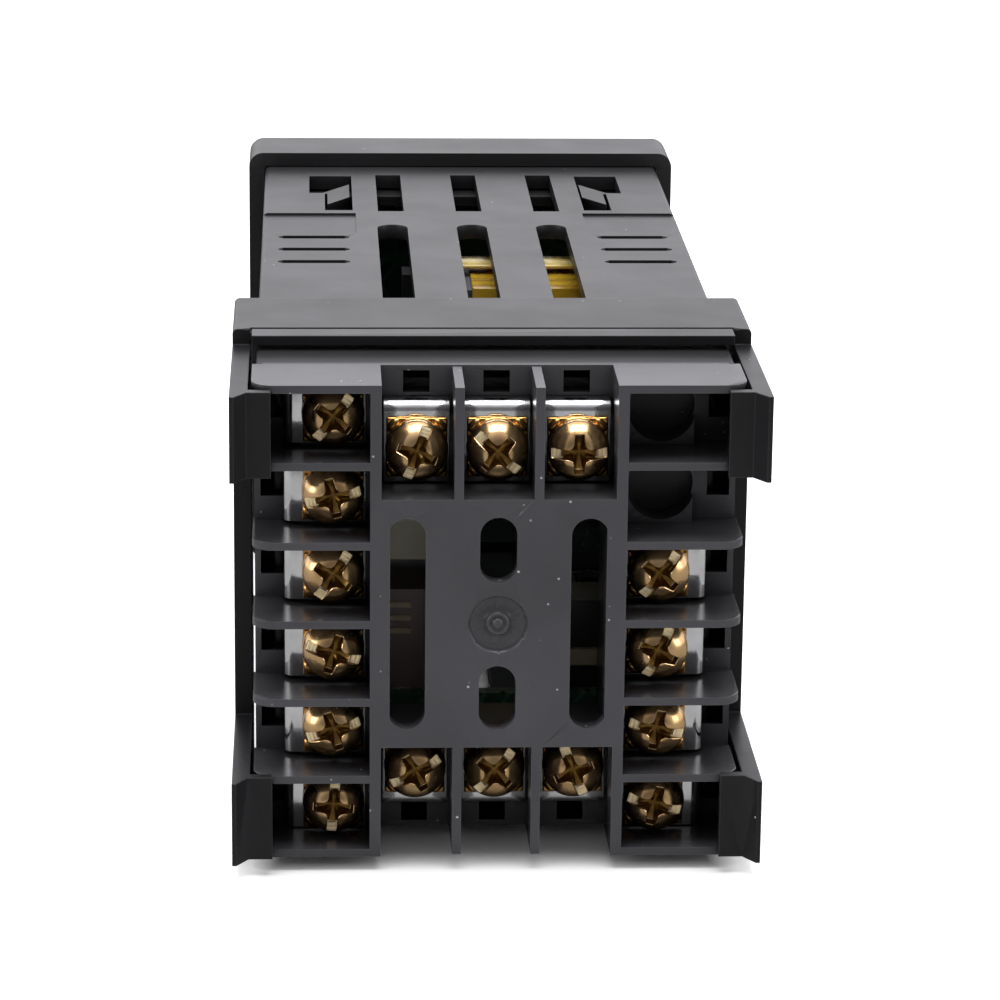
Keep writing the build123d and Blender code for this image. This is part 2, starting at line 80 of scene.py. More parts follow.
class Finish:
    """Node material whose patterns follow the piece's own coordinates."""

    def __init__(self, name, roughness, metallic=0.0, **sockets):
        self.material = bpy.data.materials.new(name)
        self.material.use_nodes = True
        self.tree = self.material.node_tree
        self.shader = self.tree.nodes["Principled BSDF"]
        self.shader.inputs["Roughness"].default_value = roughness
        self.shader.inputs["Metallic"].default_value = metallic
        for socket, value in sockets.items():
            self.shader.inputs[socket.replace("_", " ")].default_value = value
        self.where = self.node("TexCoord").outputs["Object"]
        self.breaks_edges, self.broken_edges = False, None

    def node(self, kind, **settings):
        made = self.tree.nodes.new("ShaderNode" + kind)
        for setting, value in settings.items():
            setattr(made, setting, value)
        return made

    def join(self, source, target):
        self.tree.links.new(source, target)

    def noise(self, scale, detail=2.0):
        made = self.node("TexNoise")
        made.inputs["Scale"].default_value = scale
        made.inputs["Detail"].default_value = detail
        self.join(self.where, made.inputs["Vector"])
        return made.outputs["Fac"]

    def spread(self, value, low, high, from_low=0.3, from_high=0.7):
        """The value drawn out from one range to another."""
        made = self.node("MapRange")
        for socket, number in zip(RANGE_SOCKETS, (from_low, from_high, low, high)):
            made.inputs[socket].default_value = number
        self.join(value, made.inputs["Value"])
        return made.outputs["Result"]

    def blend(self, factor, first, second):
        """Colour between two colours; either may be a plain colour or a socket."""
        made = self.node("Mix", data_type="RGBA")
        self.join(factor, made.inputs["Factor"])
        for socket, colour in ((made.inputs[6], first), (made.inputs[7], second)):
            if isinstance(colour, tuple):
                socket.default_value = (*colour, 1.0)
            else:
                self.join(colour, socket)
        return made.outputs[2]

    def edge_wear_and_glint(self, radius, low=0.02, high=0.3):
        """1 on sharp edges and 0 on flat faces; bump() breaks the edges too where asked."""
        bevel = self.node("Bevel", samples=6)
        bevel.inputs["Radius"].default_value = radius
        self.broken_edges = bevel.outputs["Normal"] if self.breaks_edges else None
        geometry = self.node("NewGeometry")
        product = self.node("VectorMath", operation="DOT_PRODUCT")
        self.join(bevel.outputs["Normal"], product.inputs[0])
        self.join(geometry.outputs["Normal"], product.inputs[1])
        return self.spread(product.outputs["Value"], 1.0, 0.0, 1.0 - high, 1.0 - low)

    def specks(self, scale, size, share):
        """Sparse small spots, such as dust: 1 in a spot."""
        cells = self.node("TexVoronoi")
        cells.inputs["Scale"].default_value = scale
        self.join(self.where, cells.inputs["Vector"])
        near = self.spread(cells.outputs["Distance"], 1.0, 0.0, size * 0.5, size)
        # The cells' random colours are seldom bright all through, so the limit is three shares down.
        limit = 1.0 - 3 * share
        chosen = self.spread(cells.outputs["Color"], 0.0, 1.0, limit, limit + 0.01)
        both = self.node("Math", operation="MULTIPLY")
        self.join(near, both.inputs[0])
        self.join(chosen, both.inputs[1])
        return both.outputs["Value"]

    def bump(self, height, distance, strength=1.0):
        made = self.node("Bump")
        made.inputs["Strength"].default_value = strength
        made.inputs["Distance"].default_value = distance
        self.join(height, made.inputs["Height"])
        if self.broken_edges:
            self.join(self.broken_edges, made.inputs["Normal"])
        self.join(made.outputs["Normal"], self.shader.inputs["Normal"])

    def colour(self, source):
        self.join(source, self.shader.inputs["Base Color"])

    def roughness(self, source):
        self.join(source, self.shader.inputs["Roughness"])


EDGE_RADIUS, PLATED_EDGE_RADIUS = 0.16, 0.07
WORN_GREY = 0.30
DUST_COLOUR = (0.42, 0.42, 0.43)
DUST_CELLS, DUST_SIZE = 1100, 0.16
NOOK_REACH = 7.0


def moulded(
    name, colour, roughness, grain=0.012, worn=0.35, dust=0.03, gloss=1.0, painted_nook_shade=0.0, broken=False
):
    """Moulded plastic: fine grain, cloudy tone, worn edges, a little dust, painted shade in deep corners."""
    finish = Finish(name, roughness, Specular_Tint=(gloss, gloss, gloss, 1.0))
    finish.breaks_edges = broken
    dark = tuple(c * 0.86 for c in colour)
    light = tuple(c * 1.14 for c in colour)
    tone = finish.blend(finish.spread(finish.noise(70, 4), 0.0, 1.0), dark, light)
    edge = tuple(c + (WORN_GREY - c) * worn for c in colour)
    tone = finish.blend(finish.edge_wear_and_glint(EDGE_RADIUS * MM), tone, edge)
    tone = finish.blend(finish.specks(DUST_CELLS, DUST_SIZE, dust), tone, DUST_COLOUR)
    # Painted shade: the colour darkens where ambient occlusion finds deep corners and narrow cells.
    if painted_nook_shade:
        nook = finish.node("AmbientOcclusion", samples=6)
        nook.inputs["Distance"].default_value = NOOK_REACH * MM
        deep = tuple(c * (1 - painted_nook_shade) for c in colour)
        tone = finish.blend(finish.spread(nook.outputs["AO"], 0.0, 1.0, 0.15, 0.68), deep, tone)
    finish.colour(tone)
    finish.roughness(finish.spread(finish.noise(160, 3), roughness - 0.02, roughness + 0.03))
    finish.bump(finish.noise(5200, 2), grain * MM)
    return finish.material


def plated(name, colour, shade, roughness, wave=0.02, scale=900, metallic=1.0):
    """Plated metal: slight waviness, stains in the low places, edges painted brighter as glints."""
    finish = Finish(name, roughness, metallic)
    tone = finish.blend(finish.spread(finish.noise(scale, 4), 0.0, 1.0, 0.35, 0.75), colour, shade)
    # Painted glint: edges are painted brighter than the faces of the metal.
    bright = tuple(min(1.0, c * 1.18) for c in colour)
    tone = finish.blend(finish.edge_wear_and_glint(PLATED_EDGE_RADIUS * MM), tone, bright)
    finish.colour(tone)
    finish.roughness(finish.spread(finish.noise(scale * 2.2, 3), roughness - 0.06, roughness + 0.08))
    finish.bump(finish.noise(scale * 1.4, 3), wave * MM)
    return finish.material


def smoked_pane():
    """Dark clear acrylic, a little uneven in tone."""
    finish = Finish("smoked_pane", 0.06, Transmission_Weight=0.92, IOR=1.49)
    cloud = finish.spread(finish.noise(50, 2), 0.0, 1.0)
    finish.colour(finish.blend(cloud, (0.34, 0.29, 0.29), (0.40, 0.34, 0.34)))
    finish.roughness(finish.spread(finish.noise(400, 3), 0.04, 0.10))
    return finish.material


def solder_mask(name, colour):
    """Green board with faint copper tracks under the mask."""
    finish = Finish(name, 0.32, Specular_IOR_Level=0.5)
    tracks = finish.node("TexVoronoi", feature="DISTANCE_TO_EDGE", distance="CHEBYCHEV")
    tracks.inputs["Scale"].default_value = 210
    finish.join(finish.where, tracks.inputs["Vector"])
    lines = finish.spread(tracks.outputs["Distance"], 1.0, 0.0, 0.03, 0.06)
    lighter = tuple(c * 1.7 + 0.01 for c in colour)
    finish.colour(finish.blend(lines, colour, lighter))
    finish.roughness(finish.spread(finish.noise(500, 2), 0.25, 0.42))
    finish.bump(lines, 0.02 * MM)
    return finish.material


def wound_tape(name, first, second):
    """Polyester tape laid round a coil, with its overlaps."""
    finish = Finish(name, 0.22, Coat_Weight=0.4, Coat_Roughness=0.12)
    bands = finish.node("TexWave", bands_direction="Y")
    bands.inputs["Scale"].default_value = 110
    bands.inputs["Distortion"].default_value = 1.2
    finish.join(finish.where, bands.inputs["Vector"])
    finish.colour(finish.blend(bands.outputs["Fac"], first, second))
    finish.roughness(finish.spread(finish.noise(700, 3), 0.16, 0.34))
    finish.bump(bands.outputs["Fac"], 0.04 * MM)
    return finish.material


def sleeve(name, colour, stripe):
    """Shrink sleeve of a capacitor, with one pale polarity stripe."""
    finish = Finish(name, 0.2, Coat_Weight=0.5, Coat_Roughness=0.08)
    marks = finish.node("TexWave", bands_direction="Y")
    marks.inputs["Scale"].default_value = 22
    finish.join(finish.where, marks.inputs["Vector"])
    band = finish.spread(marks.outputs["Fac"], 0.0, 1.0, 0.93, 0.97)
    finish.colour(finish.blend(band, colour, stripe))
    finish.roughness(finish.spread(finish.noise(900, 3), 0.14, 0.3))
    finish.bump(finish.noise(1400, 2), 0.01 * MM)
    return finish.material


block_plastic = moulded(
    "block_plastic", (0.052, 0.051, 0.056), 0.24,
    grain=0.003, worn=0.12, dust=0.05, gloss=0.5, painted_nook_shade=0.9,
)
case_plastic = moulded(
    "case_plastic", (0.022, 0.022, 0.024), 0.36,
    grain=0.008, worn=0.15, gloss=0.5, painted_nook_shade=0.85,
)
bracket_plastic = moulded(
    "bracket_plastic", (0.0095, 0.0095, 0.0105), 0.36,
    grain=0.003, worn=0.15, dust=0.04, gloss=0.5, broken=True,
)
bezel_plastic = moulded(
    "bezel_plastic", (0.014, 0.014, 0.015), 0.36,
    grain=0.005, worn=0.12, dust=0.01, gloss=0.5, painted_nook_shade=0.85,
)
key_plastic = moulded("key_plastic", (0.16, 0.165, 0.17), 0.42, grain=0.006, worn=0.25)
key_mark = moulded("key_mark", (0.75, 0.75, 0.74), 0.5, grain=0.003, worn=0.1, dust=0.0)
header_plastic = moulded("header_plastic", (0.06, 0.06, 0.064), 0.45, grain=0.006)
bobbin_plastic = moulded("bobbin_plastic", (0.025, 0.024, 0.024), 0.35, grain=0.006)
relay_plastic = moulded("relay_plastic", (0.66, 0.61, 0.45), 0.4, grain=0.008, worn=0.3)
relay_brown = moulded("relay_brown", (0.32, 0.25, 0.235), 0.4, grain=0.008, worn=0.3)
film_plastic = moulded("film_plastic", (0.030, 0.034, 0.026), 0.3, grain=0.006, worn=0.1)
ceramic_beige = moulded("ceramic_beige", (0.60, 0.50, 0.34), 0.4, grain=0.006, worn=0.1)
chip_plastic = moulded("chip_plastic", (0.022, 0.022, 0.024), 0.55, grain=0.01, worn=0.2)
display_face = moulded("display_face", (0.035, 0.033, 0.035), 0.3, grain=0.004, worn=0.2)
segment_red = moulded("segment_red", (0.42, 0.05, 0.035), 0.3, grain=0.003, worn=0.0, dust=0.0)
segment_green = moulded("segment_green", (0.12, 0.32, 0.08), 0.3, grain=0.003, worn=0.0, dust=0.0)
lamp_epoxy = moulded("lamp_epoxy", (0.42, 0.10, 0.06), 0.2, grain=0.003, worn=0.2)
ferrite = moulded("ferrite", (0.10, 0.10, 0.11), 0.48, grain=0.03, worn=0.35)
screw_brass = plated("screw_brass", (0.80, 0.54, 0.27), (0.62, 0.38, 0.16), 0.2, wave=0.010, scale=620)
# Painted shade: a darker copy of the screw brass for the cross recess.
recess_brass = plated("recess_brass", (0.30, 0.17, 0.045), (0.16, 0.088, 0.02), 0.36, wave=0.08, scale=1100)
# Painted highlight: a pale, partly matt copy of the brass for the slot floors; their striations are real
# bump.
slot_brass = plated("slot_brass", (0.98, 0.84, 0.54), (0.92, 0.70, 0.36), 0.5, 0.05, 2400, metallic=0.35)
# Painted shade: a darker copy of the brass, standing in for the dark that the washer's flat faces reflect.
washer_brass = plated("washer_brass", (0.50, 0.28, 0.09), (0.34, 0.17, 0.05), 0.14, wave=0.04, scale=800)
plate_nickel = plated("plate_nickel", (0.88, 0.88, 0.89), (0.74, 0.73, 0.72), 0.12, wave=0.015, scale=700)
tinned_metal = plated("tinned_metal", (0.72, 0.72, 0.73), (0.6, 0.6, 0.6), 0.28)
board_green = solder_mask("board_green", (0.045, 0.12, 0.075))
tape_yellow = wound_tape("tape_yellow", (0.58, 0.37, 0.025), (0.36, 0.20, 0.02))
# Cream tape whose pale tone is partly the tape's own and partly painted light from the vents above.
tape_cream = wound_tape("tape_cream", (0.80, 0.66, 0.30), (0.62, 0.46, 0.12))
sleeve_black = sleeve("sleeve_black", (0.05, 0.05, 0.056), (0.45, 0.45, 0.47))
pane_smoked = smoked_pane()


# Meshes


def new_piece(name, mesh, material=None):
    mesh.name = name
    piece = bpy.data.objects.new(name, mesh)
    bpy.context.scene.collection.objects.link(piece)
    if material:
        mesh.materials.clear()
        mesh.materials.append(material)
    return piece


def smooth(mesh, angle=SOFT_ANGLE):
    mesh.shade_smooth()
    mesh.set_sharp_from_angle(angle=math.radians(angle))


def settled(piece):
    """The piece with its modifiers made into a plain mesh."""
    evaluated = piece.evaluated_get(bpy.context.evaluated_depsgraph_get())
    mesh = bpy.data.meshes.new_from_object(evaluated)
    old = piece.data
    piece.modifiers.clear()
    piece.data = mesh
    mesh.name = piece.name
    if old.users == 0:
        bpy.data.meshes.remove(old)
    return piece


def part_mesh(build):
    """Mesh filled by build(bm), in millimetres round the origin, turned to metres."""
    shape = bmesh.new()
    build(shape)
    shape.transform(Matrix.Scale(MM, 4))
    bmesh.ops.recalc_face_normals(shape, faces=shape.faces)
    mesh = bpy.data.meshes.new("part")
    shape.to_mesh(mesh)
    shape.free()
    return mesh


def add_box(shape, low, high):
    """Box between two corners."""
    corners = [shape.verts.new((x, y, z)) for x, y, z in itertools.product(*zip(low, high))]
    for face in ((0, 1, 3, 2), (4, 6, 7, 5), (0, 4, 5, 1), (2, 3, 7, 6), (0, 2, 6, 4), (1, 5, 7, 3)):
        shape.faces.new([corners[i] for i in face])


def add_rings(shape, rings, closed_ends=True):
    """Skin through rings of points with the same count, capped at both ends."""
    made = [[shape.verts.new(point) for point in ring] for ring in rings]
    count = len(made[0])
    for lower, upper in zip(made, made[1:]):
        for i in range(count):
            j = (i + 1) % count
            shape.faces.new((lower[i], lower[j], upper[j], upper[i]))
    if closed_ends:
        shape.faces.new(made[0][::-1])
        shape.faces.new(made[-1])
    return made


def round_ring(radius, height, sides):
    return [
        (radius * math.cos(2 * math.pi * i / sides), height, radius * math.sin(2 * math.pi * i / sides))
        for i in range(sides)
    ]


# Width across a rounded square edge, as a share of what it takes off each side
CHORD = 1.4


def cut(piece, cutter, operation="DIFFERENCE"):
    """Take the cutter from the piece, or join it on, and remove the cutter."""
    boolean = piece.modifiers.new("cut", "BOOLEAN")
    boolean.operation = operation
    boolean.solver = "EXACT"
    boolean.object = cutter
    bpy.context.view_layer.update()
    settled(piece)
    bpy.data.objects.remove(cutter)


def soften(piece, width, segments=2, angle=30, clamp=True):
    """Round the edges over an angle; width is what a square edge loses on each side."""
    bevel = piece.modifiers.new("soft_edges", "BEVEL")
    bevel.offset_type = "WIDTH"
    bevel.width = width * MM * CHORD
    bevel.segments = segments
    bevel.limit_method = "ANGLE"
    bevel.angle_limit = math.radians(angle)
    bevel.use_clamp_overlap = clamp
    bevel.miter_outer = "MITER_ARC"
    bpy.context.view_layer.update()
    return settled(piece)


def flattened(piece):
    """Smooth shading whose flat faces stay flat up to their rounded edges."""
    smooth(piece.data)
    weighted = piece.modifiers.new("flat_faces", "WEIGHTED_NORMAL")
    weighted.keep_sharp = True
    weighted.weight = 100
    bpy.context.view_layer.update()
    return settled(piece)


def rounded_node(node, width, material, cuts=()):
    """The node's own shape, cut where asked and with softened edges, standing for the node."""
    shape = bmesh.new()
    shape.from_mesh(frame["nodes"][node].data)
    bmesh.ops.remove_doubles(shape, verts=shape.verts, dist=WELD * MM)
    mesh = bpy.data.meshes.new(node)
    shape.to_mesh(mesh)
    shape.free()
    piece = new_piece(node + "_finished", mesh, material)
    for cutter in cuts:
        cut(piece, cutter)
    if width:
        soften(piece, width)
        flattened(piece)
    else:
        smooth(piece.data, CRISP_ANGLE)
    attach(piece, frame["nodes"][node]["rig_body"])
    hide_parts(node)
    return piece


# Terminals

HEAD_RADIUS = 2.88
HEAD_HEIGHT = 2.7
RIM_HEIGHT = 0.5
SIDE_PITCH, SIDE_OUT = 7.5, 15.05
END_PITCH, END_OUT = 7.4, 15.4
WASHER_SIDE, WASHER_THICK = 5.6, 0.7
PLATE_TOP, PLATE_THICK, PLATE_WIDTH = 5.7, 0.8, 6.1
PLATE_INNER, LEG_CENTRE = 12.0, 19.25

# Angle of each screw's slot in degrees, in the order of terminal_places()
SLOT_ANGLES = (52, 12, 56, -17, 17, 85, 70, -43, 0, 52, 65, -12, -15, -68, 50, 30)


def terminal_places():
    """Quarter turn, offset across and distance out of each terminal: a side, top, side, below."""
    places = [(0, (2.5 - row) * SIDE_PITCH, SIDE_OUT) for row in range(6)]
    places += [(90, column * END_PITCH, END_OUT) for column in (-1, 0, 1)]
    places += [(180, (row - 2.5) * SIDE_PITCH, SIDE_OUT) for row in range(2, 6)]
    places += [(270, column * END_PITCH, END_OUT) for column in (-1, 0, 1)]
    return places


def marked_points(name, points, angles):
    """Vertices with the turn about the depth of the part that stands at each."""
    mesh = bpy.data.meshes.new(name)
    mesh.from_pydata(points, [], [])
    turns = mesh.attributes.new("turn", "FLOAT_VECTOR", "POINT")
    for item, angle in zip(turns.data, angles):
        item.vector = (0.0, math.radians(angle), 0.0)
    return new_piece(name, mesh)


def place_points(name, depth, angles, out=None):
    """Points at the sixteen terminals."""
    points = []
    for turn, across, own_out in terminal_places():
        reach = own_out if out is None else out
        c, s = math.cos(math.radians(turn)), math.sin(math.radians(turn))
        points.append(spot(reach * c - across * s, depth, reach * s + across * c))
    return marked_points(name, points, angles)


def repeating_tree():
    """Node tree that stands a part on every point, turned by the point's own angles."""
    tree = bpy.data.node_groups.new("repeated_part", "GeometryNodeTree")
    face = tree.interface
    face.new_socket("Places", in_out="INPUT", socket_type="NodeSocketGeometry")
    face.new_socket("Part", in_out="INPUT", socket_type="NodeSocketObject")
    face.new_socket("Size", in_out="INPUT", socket_type="NodeSocketFloat").default_value = 1.0
    face.new_socket("Wobble", in_out="INPUT", socket_type="NodeSocketFloat").default_value = 0.0
    face.new_socket("Seed", in_out="INPUT", socket_type="NodeSocketInt").default_value = 1
    face.new_socket("Finish", in_out="INPUT", socket_type="NodeSocketMaterial")
    face.new_socket("Parts", in_out="OUTPUT", socket_type="NodeSocketGeometry")
    node, link = tree.nodes.new, tree.links.new
    given, result = node("NodeGroupInput"), node("NodeGroupOutput")
    turn = node("GeometryNodeInputNamedAttribute")
    turn.data_type = "FLOAT_VECTOR"
    turn.inputs["Name"].default_value = "turn"
    wobble = node("FunctionNodeRandomValue")
    wobble.data_type = "FLOAT_VECTOR"
    wobble.inputs[0].default_value = (-1, -1, -1)
    link(given.outputs["Seed"], wobble.inputs["Seed"])
    scaled = node("ShaderNodeVectorMath")
    scaled.operation = "SCALE"
    link(wobble.outputs[0], scaled.inputs[0])
    link(given.outputs["Wobble"], scaled.inputs["Scale"])
    total = node("ShaderNodeVectorMath")
    link(turn.outputs["Attribute"], total.inputs[0])
    link(scaled.outputs[0], total.inputs[1])
    part = node("GeometryNodeObjectInfo")
    link(given.outputs["Part"], part.inputs["Object"])
    stand = node("GeometryNodeInstanceOnPoints")
    link(given.outputs["Places"], stand.inputs["Points"])
    link(part.outputs["Geometry"], stand.inputs["Instance"])
    link(total.outputs[0], stand.inputs["Rotation"])
    link(given.outputs["Size"], stand.inputs["Scale"])
    real = node("GeometryNodeRealizeInstances")
    link(stand.outputs["Instances"], real.inputs["Geometry"])
    finish = node("GeometryNodeSetMaterial")
    link(real.outputs["Geometry"], finish.inputs["Geometry"])
    link(given.outputs["Finish"], finish.inputs["Material"])
    link(finish.outputs["Geometry"], result.inputs["Parts"])
    return tree


def repeated(points, part, materials, **inputs):
    """The part stood on every point and made one plain mesh."""
    modifier = points.modifiers.new("repeat", "NODES")
    modifier.node_group = REPEATING
    values = {"Part": part, "Finish": materials[0], **inputs}
    marks = [face.material_index for face in part.data.polygons]
    for socket in REPEATING.interface.items_tree:
        if socket.in_out == "INPUT" and socket.name in values:
            modifier[socket.identifier] = values[socket.name]
    bpy.context.view_layer.update()
    settled(points)
    bpy.data.objects.remove(part)
    points.data.materials.clear()
    for material in materials:
        points.data.materials.append(material)
    for i, face in enumerate(points.data.polygons):
        face.material_index = marks[i % len(marks)]
    return points


REPEATING = repeating_tree()


def dome_height(radius):
    """Height of the pan head over its seat at a distance from its axis."""
    share = min(1.0, radius / HEAD_RADIUS)
    return RIM_HEIGHT + (HEAD_HEIGHT - RIM_HEIGHT) * (1 - share**2.3) ** (1 / 2.1)


def screw_part():
    """Pan head with a cross recess and a straight slot through it, its axis along +Y."""
    sides, rows = 56, 14
    slot_sink, slot_half, serration = 1.16, 0.47, 0.06

    def head(shape):
        radii = [HEAD_RADIUS * math.cos(math.pi / 2 * i / rows) ** 0.9 for i in range(rows)]
        rings = [round_ring(HEAD_RADIUS - 0.15, 0, sides), round_ring(HEAD_RADIUS, 0.12, sides)]
        rings += [round_ring(radius, dome_height(radius), sides) for radius in radii]
        made = add_rings(shape, rings, closed_ends=False)
        shape.faces.new(made[0][::-1])
        top = shape.verts.new((0, HEAD_HEIGHT, 0))
        for i in range(sides):
            shape.faces.new((made[-1][i], made[-1][(i + 1) % sides], top))

    def cross(shape):
        arm = [(2.0, 0.42), (1.35, 0.45), (0.88, 0.50)]
        quadrant = arm + [(0.64, 0.64)] + [(z, x) for x, z in arm[::-1]]
        outline = []
        for c, s in ((1, 0), (0, 1), (-1, 0), (0, -1)):
            outline += [(x * c - z * s, x * s + z * c) for x, z in quadrant]
        levels = ((-0.5, 1.12), (1.2, 0.80), (1.55, 0.42), (1.65, 0.1))
        rings = [[(x * size, HEAD_HEIGHT - sink, z * size) for x, z in outline] for sink, size in levels]
        add_rings(shape, rings)

    def slot(shape):
        floor = HEAD_HEIGHT - slot_sink
        steps, past = 9, HEAD_RADIUS + 0.52
        path = [(-past, floor)]
        for i in range(steps + 1):
            path.append((-2.9 + 1.6 * i / steps, floor + (serration if i % 2 else 0.0)))
        path += [(-x, y) for x, y in path[::-1]]
        path += [(past, HEAD_HEIGHT + 1), (-past, HEAD_HEIGHT + 1)]
        rings = [[(x, y, z) for x, y in path] for z in (-slot_half, slot_half)]
        add_rings(shape, rings)

    screw = new_piece("screw_part", part_mesh(head))
    cut(screw, new_piece("cross_cutter", part_mesh(cross)))
    cut(screw, new_piece("slot_cutter", part_mesh(slot)))
    soften(screw, 0.05, 1, angle=38, clamp=False)
    smooth(screw.data, 34)
    # Faces of the recess take the second finish, a darker brass painting the shade in the recess, and the
    # floor of the slot the third, a paler brass painting the light the slot floor catches.
    for face in screw.data.polygons:
        reach = math.hypot(face.center.x, face.center.z) / MM
        level = face.center.y / MM
        sunk = level < dome_height(reach) - 0.18 and reach < HEAD_RADIUS - 0.12
        slotted = sunk and reach > 1.55 and level > HEAD_HEIGHT - 1.4 and face.normal.y > 0.4
        face.material_index = 2 if slotted else 1 if sunk and level > 0 else 0
    for _ in range(3):
        screw.data.materials.append(None)
    return screw


def washer_part():
    """Square captive washer with a raised collar and a lump at each corner."""
    half, sheet, corner = WASHER_SIDE / 2, 0.42, 2.12

    def plate(shape):
        add_box(shape, (-half, 0, -half), (half, sheet, half))

    def collar(shape):
        profile = ((2.86, 0.2), (2.9, 0.5), (2.72, WASHER_THICK), (1.6, WASHER_THICK), (1.55, 0.2))
        add_rings(shape, [round_ring(radius, height, 40) for radius, height in profile])

    washer = new_piece("washer_part", part_mesh(plate))
    soften(washer, 0.14, 3)
    cut(washer, new_piece("collar_part", part_mesh(collar)), "UNION")
    for x in (-1, 1):
        for z in (-1, 1):

            def lump(shape):
                turn = Matrix.Rotation(math.radians(-45 * x * z), 4, "Y")
                squeeze = Matrix.Diagonal((0.5, 0.42, 0.8, 1.0))
                place = Matrix.Translation((x * corner, sheet, z * corner)) @ turn @ squeeze
                bmesh.ops.create_uvsphere(shape, u_segments=20, v_segments=12, radius=1.0, matrix=place)

            cut(washer, new_piece("lump_part", part_mesh(lump)), "UNION")
    smooth(washer.data, 40)
    return washer


def bent_plate_part():
    """Clamping plate, flat under the washer and bent forward round a soft outer edge."""
    bend = 1.0
    outer = LEG_CENTRE + PLATE_THICK / 2 - END_OUT
    inner = PLATE_INNER - END_OUT
    deep = -2.2
    arc = [(math.cos(math.radians(a)), math.sin(math.radians(a))) for a in range(90, -1, -10)]
    upper = [(inner, 0)] + [(outer - bend + bend * c, -bend + bend * s) for c, s in arc] + [(outer, deep)]
    inside = bend - PLATE_THICK
    lower = [(outer - PLATE_THICK, deep)]
    lower += [(outer - bend + inside * c, -bend + inside * s) for c, s in arc[::-1]] + [(inner, -PLATE_THICK)]

    def plate(shape):
        half = PLATE_WIDTH / 2
        add_rings(shape, [[(x, y, z) for x, y in upper + lower] for z in (-half, half)])

    part = new_piece("plate_part", part_mesh(plate))
    soften(part, 0.09, 2, angle=40)
    smooth(part.data, 40)
    return part


def dress_terminals():
    """Bent plates, captive washers and screws at the sixteen terminals, one piece of each kind."""
    turns = [-turn for turn, _, _ in terminal_places()]
    plate_points = place_points("terminal_plates", PLATE_TOP, turns, END_OUT)
    plates = repeated(plate_points, bent_plate_part(), [plate_nickel])
    washer_points = place_points("captive_washers", PLATE_TOP, turns)
    washers = repeated(washer_points, washer_part(), [washer_brass], Wobble=0.02, Seed=4)
    head_points = place_points("pan_head_screws", PLATE_TOP - WASHER_THICK, SLOT_ANGLES)
    screw_finishes = [screw_brass, recess_brass, slot_brass]
    screws = repeated(head_points, screw_part(), screw_finishes, Wobble=0.012, Seed=7)
    for piece, nodes, slot in (
        (plates, [f"terminal_plate_{n:02d}" for n in range(1, 17)], "plate_nickel"),
        (washers, ["square_washers"], "washer_brass"),
        (screws, ["terminal_screws"], "screw_brass"),
    ):
        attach(piece, "controller")
        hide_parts(*nodes)


dress_terminals()

# Mouldings

rounded_node("housing", 0.12, case_plastic)
rounded_node("mounting_bracket", 0, bracket_plastic)
rounded_node("front_bezel", 0.22, bezel_plastic)

DECK_DEPTH = 0.0
WELL_RADIUS, WELL_OUT = 3.15, SIDE_OUT + 0.15
WELL_TOP, WELL_FLOOR = 5.5, 10.0


def dress_block():
    """Terminal block with its dished centre mark, where the moulding was filled."""
    sides = 64
    wells = []
    for row in range(2):

        def well(shape):
            add_rings(shape, [round_ring(WELL_RADIUS, -depth, 48) for depth in (WELL_TOP, WELL_FLOOR)])

        cutter = new_piece("well_cutter", part_mesh(well))
        cutter.data.transform(Matrix.Translation(spot(-WELL_OUT, 0, (2.5 - row) * SIDE_PITCH)))
        wells.append(cutter)
    block = rounded_node("terminal_block", 0.10, block_plastic, cuts=wells)

    def dish(shape):
        profile = ((3.6, -1.0), (2.82, 0.0), (2.5, 0.42), (2.3, 0.60), (1.0, 0.66))
        add_rings(shape, [round_ring(radius, -sink, sides) for radius, sink in profile])

    def gate(shape):
        collar = ((1.25, 0.9), (1.12, 0.34), (0.98, 0.24), (0.82, 0.26))
        nub = ((0.72, 0.42), (0.55, 0.42), (0.42, 0.2), (0.2, 0.12))
        add_rings(shape, [round_ring(radius, -sink, 40) for radius, sink in collar + nub])

    for name, build, operation in (("dish_cutter", dish, "DIFFERENCE"), ("gate_part", gate, "UNION")):
        tool = new_piece(name, part_mesh(build))
        tool.data.transform(Matrix.Translation(spot(0, DECK_DEPTH, 0)))
        cut(block, tool, operation)
    flattened(block)


dress_block()

# Keys and displays

KEY_XS = {"set_key": -13.5, "shift_key": -4.5, "down_key": 4.5, "up_key": 13.5}
KEY_Z = -13.5
KEY_PROUD = 0.5
DISH_PROFILE = ((7.0, -1.5), (4.9, 0.0), (3.6, 0.09), (2.2, 0.16), (0.8, 0.2))
DIGIT_FACE = 107.3
DIGIT_LEAN, UPRIGHT_TURN = 0.12, 90 - 7
DIGITS_MIDDLE = -2.5


def key_outline(key):
    """Corners of the sign on a key, as seen from the front."""
    if key == "set_key":
        return [(1.1 * math.cos(math.pi * i / 12), 1.1 * math.sin(math.pi * i / 12)) for i in range(24)]
    turn = {"shift_key": 90, "down_key": 180, "up_key": 0}[key]
    angles = [math.radians(90 + turn + 120 * i) for i in range(3)]
    return [(1.35 * math.cos(angle), 1.35 * math.sin(angle)) for angle in angles]


